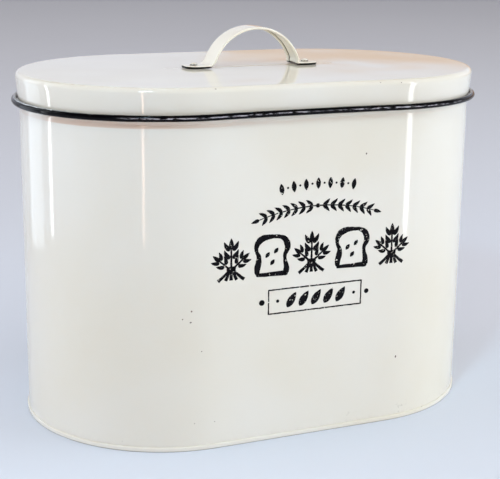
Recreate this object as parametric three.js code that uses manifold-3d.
// Oval bread tin with a lift-off lid, in millimetres: +Z up, +X along its length, front at -Y.
// The body is a straight stadium-shaped sheet wall on a pressed base, with a wired bead round its mouth.
// The lid is a drawn pan whose skirt plugs into the mouth, with a riveted strap handle on top.
import * as THREE from 'three';
import { mergeVertices } from 'three/addons/utils/BufferGeometryUtils.js';
import Module from 'manifold-3d';

const wasm = await Module();
wasm.setup();

// ---- driving dimensions ----
const bodyLength = 330; // outside of the wall, along X
const bodyWidth = 200; // outside of the wall, along Y
const beadHeight = 225; // centre of the bead above the resting surface
const lidTopHeight = 243; // flat top of the lid above the resting surface
const sheet = 0.6; // thickness of the steel sheet
const gap = 0.35; // clearance between neighbouring pieces

const endRadius = bodyWidth / 2;
const straightHalf = bodyLength / 2 - endRadius;
const endSteps = 20; // facets round each half-circle end

// base: a channel folded round the wall's lower edge, and a floor raised above the resting surface
const channelHeight = 3.2;
const floorUnderside = 3;

// mouth: the wall flares at 45 degrees into a slot in the bead, which is rolled over a wire
const beadOffset = 3.3; // bead centre, outward from the wall's outer face
const beadRadius = 2.1;
const beadSheet = 0.5;
const beadSteps = 14;
const wireRadius = 0.9;
const wireSides = 8;
const flareEnd = 1.35; // distance from the bead's centre to the end of the flared wall

// vertical lock seam of the wall, at the middle of the back
const lockSeamWidth = 7;
const lockSeamProud = 0.7;
const lockSeamBottom = 4;
const lockSeamTop = 219;

// lid
const lidEdgeRadius = 3.5;
const skirtTopOffset = 2.3; // widest part of the skirt, outward from the wall's outer face
const skirtNeckOffset = 0.65; // skirt beside the bead
const plugBottom = 206; // lower edge of the skirt, inside the mouth
const hemHeight = 4;
const hemThickness = 0.5;
const plateOverlap = 4; // flat rim that the middle plate of the lid or the base is joined to

// handle
const strapWidth = 20;
const strapSheet = 0.9;
const strapHemWidth = 4.2;
const strapHemThickness = 0.8;
const strapClearance = 0.3; // under the feet
const archHeight = 28.2; // outer face of the arch above the lid
const archRadius = 35; // outer face
const footBendRadius = 2; // top of the bend between a foot and the arch
const footTip = 50.5; // end of each foot from the middle
const footCornerRadius = 7;

// rivets
const rivetX = 43.2;
const rivetHeadRadius = 2.7;
const rivetHeadHeight = 1.4;
const rivetShankRadius = 1.5;
const rivetTailRadius = 2.4;
const rivetTailHeight = 1;
const washerRadius = 4.5;
const washerThickness = 0.8;
const rivetClearance = 0.3;
const rivetSides = 20;

const holeRadius = rivetShankRadius + gap;

// ---- geometry helpers ----

// Plan directions round the stadium, anticlockwise: the centre each one turns about and its normal.
function planStations() {
  const stations = [];
  for (const side of [1, -1]) {
    for (let i = 0; i <= endSteps; i += 1) {
      const angle = (i / endSteps - side / 2) * Math.PI;
      stations.push({ centre: side * straightHalf, nx: Math.cos(angle), ny: Math.sin(angle) });
    }
  }
  return stations;
}

// Sweeps a closed section round the stadium. A section point is [outward offset from the wall's
// outer face, height]. The section runs anticlockwise with outward to the right.
function sweepSection(section) {
  const stations = planStations();
  const positions = [];
  for (const { centre, nx, ny } of stations) {
    for (const [offset, z] of section) {
      positions.push(centre + nx * (endRadius + offset), ny * (endRadius + offset), z);
    }
  }
  const indices = [];
  const count = section.length;
  for (let s = 0; s < stations.length; s += 1) {
    const next = (s + 1) % stations.length;
    for (let k = 0; k < count; k += 1) {
      const kNext = (k + 1) % count;
      const [a, b, c, d] = [s * count + k, s * count + kNext, next * count + kNext, next * count + k];
      indices.push(a, d, c, a, c, b);
    }
  }
  return indexedGeometry(positions, indices);
}

function indexedGeometry(positions, indices) {
  const geometry = new THREE.BufferGeometry();
  geometry.setAttribute('position', new THREE.Float32BufferAttribute(positions, 3));
  geometry.setIndex(indices);
  return geometry;
}

// Flat stadium-shaped plate from one height to another.
function stadiumPlate(offset, bottom, top) {
  const radius = endRadius + offset;
  const shape = new THREE.Shape();
  shape.absarc(straightHalf, 0, radius, -Math.PI / 2, Math.PI / 2);
  shape.absarc(-straightHalf, 0, radius, Math.PI / 2, (3 * Math.PI) / 2);
  shape.closePath();
  const plate = new THREE.ExtrudeGeometry(shape, {
    depth: top - bottom,
    curveSegments: endSteps,
    bevelEnabled: false,
  });
  return plate.translate(0, 0, bottom);
}

// Points on an arc in a section, as [across, up].
function arc(centreAcross, centreUp, radius, from, to, steps) {
  return Array.from({ length: steps + 1 }, (_, i) => {
    const angle = from + ((to - from) * i) / steps;
    return [centreAcross + radius * Math.cos(angle), centreUp + radius * Math.sin(angle)];
  });
}

function toSolid(geometry) {
  const bare = new THREE.BufferGeometry();
  bare.setAttribute('position', geometry.getAttribute('position').clone());
  if (geometry.index) bare.setIndex(geometry.index.clone());
  const merged = mergeVertices(bare);
  return new wasm.Manifold(new wasm.Mesh({
    numProp: 3,
    vertProperties: new Float32Array(merged.getAttribute('position').array),
    triVerts: new Uint32Array(merged.index.array),
  }));
}

function fromSolid(solid) {
  const mesh = solid.getMesh();
  return indexedGeometry(Array.from(mesh.vertProperties), Array.from(mesh.triVerts));
}

function upright(geometry) {
  return geometry.rotateX(Math.PI / 2); // turns a shape drawn in X and Y to stand in X and Z
}

// Both rivet holes, as one solid to cut with.
function rivetHoles(bottom, top) {
  const holes = [-rivetX, rivetX].map((x) => {
    const hole = upright(new THREE.CylinderGeometry(holeRadius, holeRadius, top - bottom, rivetSides));
    return toSolid(hole.translate(x, 0, (bottom + top) / 2));
  });
  return holes[0].add(holes[1]);
}

// ---- body ----

const diagonal = Math.SQRT1_2;
const wallBottom = sheet + gap;
// Middle line of the 45-degree flare: offset = height - flareBase.
const flareBase = beadHeight - beadOffset;

function wallGeometry() {
  const half = (sheet / 2) * diagonal; // half the sheet across a 45-degree face, along each axis
  const tip = flareEnd * diagonal;
  const wall = toSolid(sweepSection([
    [0, wallBottom],
    [0, flareBase - 2 * half],
    [beadOffset - tip + half, beadHeight - tip - half],
    [beadOffset - tip - half, beadHeight - tip + half],
    [-sheet, flareBase - sheet + 2 * half],
    [-sheet, wallBottom],
  ]));
  const strip = new THREE.BoxGeometry(lockSeamWidth, lockSeamProud + sheet / 2, lockSeamTop - lockSeamBottom);
  strip.translate(0, endRadius + (lockSeamProud - sheet / 2) / 2, (lockSeamTop + lockSeamBottom) / 2);
  return fromSolid(wall.add(toSolid(strip)));
}

function baseGeometry() {
  const lip = gap + sheet;
  const leg = -sheet - gap;
  const floorTop = floorUnderside + sheet;
  const rim = leg - sheet - plateOverlap;
  const channel = toSolid(sweepSection([
    [lip, 0],
    [lip, channelHeight],
    [gap, channelHeight],
    [gap, sheet],
    [leg, sheet],
    [leg, floorTop],
    [rim, floorTop],
    [rim, floorUnderside],
    [leg - sheet, floorUnderside],
    [leg - sheet, 0],
  ]));
  const floor = toSolid(stadiumPlate(rim + plateOverlap / 2, floorUnderside, floorTop));
  return fromSolid(channel.add(floor));
}

function beadGeometry() {
  const slotMiddle = THREE.MathUtils.degToRad(225);
  const slotHalf = Math.asin((sheet / 2 + gap) / (beadRadius - beadSheet));
  const from = slotMiddle + slotHalf;
  const to = slotMiddle - slotHalf + 2 * Math.PI;
  const outer = arc(beadOffset, beadHeight, beadRadius, from, to, beadSteps);
  const inner = arc(beadOffset, beadHeight, beadRadius - beadSheet, to, from, beadSteps);
  return sweepSection([...outer, ...inner]);
}

function wireGeometry() {
  const turn = 2 * Math.PI;
  const round = arc(beadOffset, beadHeight, wireRadius, 0, turn, wireSides);
  return sweepSection(round.slice(0, wireSides));
}

// ---- lid ----

function lidGeometry() {
  const plugOffset = -sheet - gap;
  const edgeZ = lidTopHeight - lidEdgeRadius;
  const underside = lidTopHeight - sheet;
  const arcCentre = skirtTopOffset - lidEdgeRadius;
  // The shoulder lies along the flared mouth, one gap inside it: offset = height - shoulderBase.
  const shoulderBase = flareBase + (sheet / 2 + gap) / diagonal;
  const innerBase = shoulderBase + sheet / diagonal;
  const rim = arcCentre - plateOverlap;
  const pan = toSolid(sweepSection([
    [plugOffset, plugBottom],
    [plugOffset, shoulderBase + plugOffset],
    [skirtNeckOffset, shoulderBase + skirtNeckOffset],
    ...arc(arcCentre, edgeZ, lidEdgeRadius, 0, Math.PI / 2, 5),
    [rim, lidTopHeight],
    [rim, underside],
    ...arc(arcCentre, edgeZ, lidEdgeRadius - sheet, Math.PI / 2, 0, 5),
    [skirtNeckOffset - sheet, innerBase + skirtNeckOffset - sheet],
    [plugOffset - sheet, innerBase + plugOffset - sheet],
    [plugOffset - sheet, plugBottom + hemHeight],
    [plugOffset - sheet - hemThickness, plugBottom + hemHeight],
    [plugOffset - sheet - hemThickness, plugBottom],
  ]));
  const plate = toSolid(stadiumPlate(rim + plateOverlap / 2, underside, lidTopHeight));
  const holes = rivetHoles(underside - 1, lidTopHeight + 1);
  return fromSolid(pan.add(plate).subtract(holes));
}

// Outline of one layer of the strap in X and Z, between two depths under its outer face.
function strapLayer(outerDepth, innerDepth, width) {
  const footTop = lidTopHeight + strapClearance + strapHemThickness + strapSheet;
  const archCentre = lidTopHeight + archHeight - archRadius;
  const bendZ = footTop + footBendRadius;
  const bendX = Math.sqrt((archRadius + footBendRadius) ** 2 - (bendZ - archCentre) ** 2);
  const archStart = Math.atan2(bendZ - archCentre, bendX);
  const face = (depth) => [
    [-footTip, footTop - depth],
    ...arc(-bendX, bendZ, footBendRadius + depth, -Math.PI / 2, -archStart, 4),
    ...arc(0, archCentre, archRadius - depth, Math.PI - archStart, archStart, 24),
    ...arc(bendX, bendZ, footBendRadius + depth, Math.PI + archStart, 1.5 * Math.PI, 4),
    [footTip, footTop - depth],
  ];
  const outline = [...face(innerDepth), ...face(outerDepth).reverse()];
  const shape = new THREE.Shape(outline.map(([x, z]) => new THREE.Vector2(x, z)));
  const layer = new THREE.ExtrudeGeometry(shape, { depth: width, bevelEnabled: false });
  return upright(layer.translate(0, 0, -width / 2));
}

// Plan outline of the handle: a rectangle with rounded foot ends, as a tall block to intersect with.
function strapPlan() {
  const half = strapWidth / 2;
  const inner = half - footCornerRadius;
  const end = footTip - footCornerRadius;
  const quarter = Math.PI / 2;
  const shape = new THREE.Shape();
  shape.absarc(end, inner, footCornerRadius, 0, quarter);
  shape.absarc(-end, inner, footCornerRadius, quarter, 2 * quarter);
  shape.absarc(-end, -inner, footCornerRadius, 2 * quarter, 3 * quarter);
  shape.absarc(end, -inner, footCornerRadius, 3 * quarter, 4 * quarter);
  const block = new THREE.ExtrudeGeometry(shape, {
    depth: 2 * archHeight,
    curveSegments: 6,
    bevelEnabled: false,
  });
  return block.translate(0, 0, lidTopHeight);
}

function handleGeometry() {
  const hemCentre = (strapWidth - strapHemWidth) / 2;
  const layerOverlap = strapSheet / 2;
  let strap = toSolid(strapLayer(0, strapSheet, strapWidth));
  for (const y of [-hemCentre, hemCentre]) {
    const hem = strapLayer(layerOverlap, strapSheet + strapHemThickness, strapHemWidth);
    strap = strap.add(toSolid(hem.translate(0, y, 0)));
  }
  strap = strap.intersect(toSolid(strapPlan()));
  return fromSolid(strap.subtract(rivetHoles(lidTopHeight, lidTopHeight + archHeight / 2)));
}

// ---- rivets ----

function lathe(profile) {
  return upright(new THREE.LatheGeometry(profile.map(([r, z]) => new THREE.Vector2(r, z)), rivetSides));
}

const washerTop = lidTopHeight - sheet - rivetClearance;
const washerBottom = washerTop - washerThickness;

function rivetGeometry() {
  const footTop = lidTopHeight + strapClearance + strapHemThickness + strapSheet;
  const headBottom = footTop + rivetClearance;
  const tailTop = washerBottom - rivetClearance;
  const tailBottom = tailTop - rivetTailHeight;
  const tailChamfer = 0.4;
  const dome = Array.from({ length: 6 }, (_, i) => {
    const angle = (i / 5) * (Math.PI / 2);
    return [rivetHeadRadius * Math.cos(angle), headBottom + rivetHeadHeight * Math.sin(angle)];
  });
  dome[dome.length - 1][0] = 0;
  return lathe([
    [0, tailBottom],
    [rivetTailRadius - tailChamfer, tailBottom],
    [rivetTailRadius, tailBottom + tailChamfer],
    [rivetTailRadius, tailTop],
    [rivetShankRadius, tailTop],
    [rivetShankRadius, headBottom],
    ...dome,
  ]);
}

function washerGeometry() {
  return lathe([
    [holeRadius, washerBottom],
    [washerRadius, washerBottom],
    [washerRadius, washerTop],
    [holeRadius, washerTop],
    [holeRadius, washerBottom],
  ]);
}

// ---- assembly ----

const cream = { color: 0xe6e5df, roughness: 0.22, metalness: 0 };
const black = { color: 0x08080a, roughness: 0.2, metalness: 0 };
const bareSteel = { color: 0x9a9a98, roughness: 0.4, metalness: 1 };

const tin = new THREE.Group();

function addPiece(name, geometry, finish, x = 0) {
  const mesh = new THREE.Mesh(geometry, new THREE.MeshStandardMaterial(finish));
  mesh.name = name;
  mesh.position.x = x;
  tin.add(mesh);
}

addPiece('body_wall', wallGeometry(), cream);
addPiece('base_pan', baseGeometry(), cream);
addPiece('rim_bead', beadGeometry(), black);
addPiece('rim_wire', wireGeometry(), bareSteel);
addPiece('lid_pan', lidGeometry(), cream);
addPiece('handle_strap', handleGeometry(), cream);
for (const [side, x] of [['left', -rivetX], ['right', rivetX]]) {
  addPiece(`rivet_${side}`, rivetGeometry(), cream, x);
  addPiece(`rivet_washer_${side}`, washerGeometry(), bareSteel, x);
}

export default tin;
